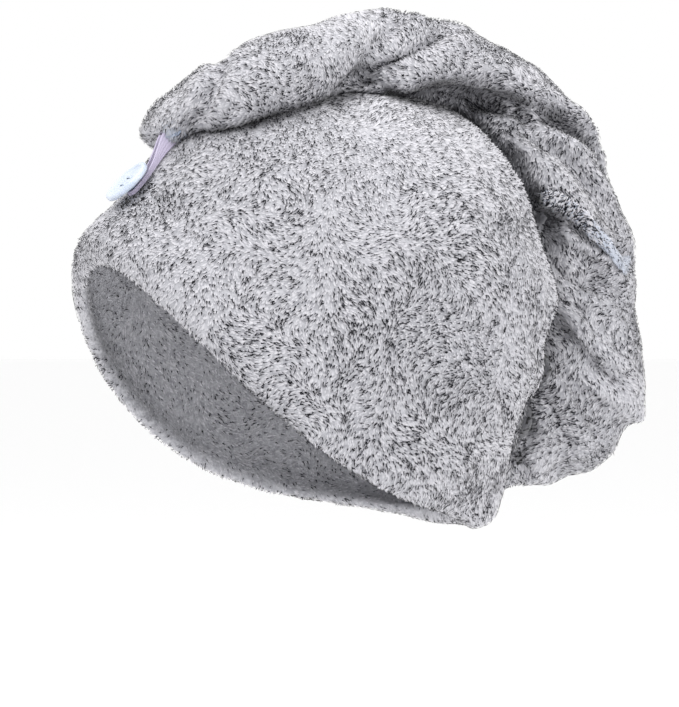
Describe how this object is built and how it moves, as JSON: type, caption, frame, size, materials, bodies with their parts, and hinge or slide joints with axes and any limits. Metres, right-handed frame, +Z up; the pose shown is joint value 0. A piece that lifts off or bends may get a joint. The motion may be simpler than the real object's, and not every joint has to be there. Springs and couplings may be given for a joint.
{
  "type": "hair turban towel",
  "caption": "Plush grey hair turban towel in its worn form: a hood with a rolled rim and a tail twisted over the crown, hooked by an elastic loop on a forehead button",
  "frame": {"origin": "where the top of the wearer's head meets the inside of the hood, on the middle plane", "axes": "+Z up; the face looks along -Y, so the tail stands out along +Y; +X to the wearer's left"},
  "size_m": [0.1682, 0.2799, 0.2364],
  "materials": {
    "fleece": "deep soft plush pile, light grey flecked dark",
    "fleece_wrung": "the same plush pile, wrung into a rope",
    "button_plastic": "smooth, softly glossy",
    "thread": "twisted sewing thread",
    "elastic": "flat woven elastic",
    "tape": "soft overlocked edge binding"
  },
  "bodies": {
    "root": {"hood": "fleece", "tail": "fleece_wrung", "button": "button_plastic", "button_thread": "thread", "elastic_loop": "elastic", "seam_tape": "tape"}
  },
  "joints": []
}
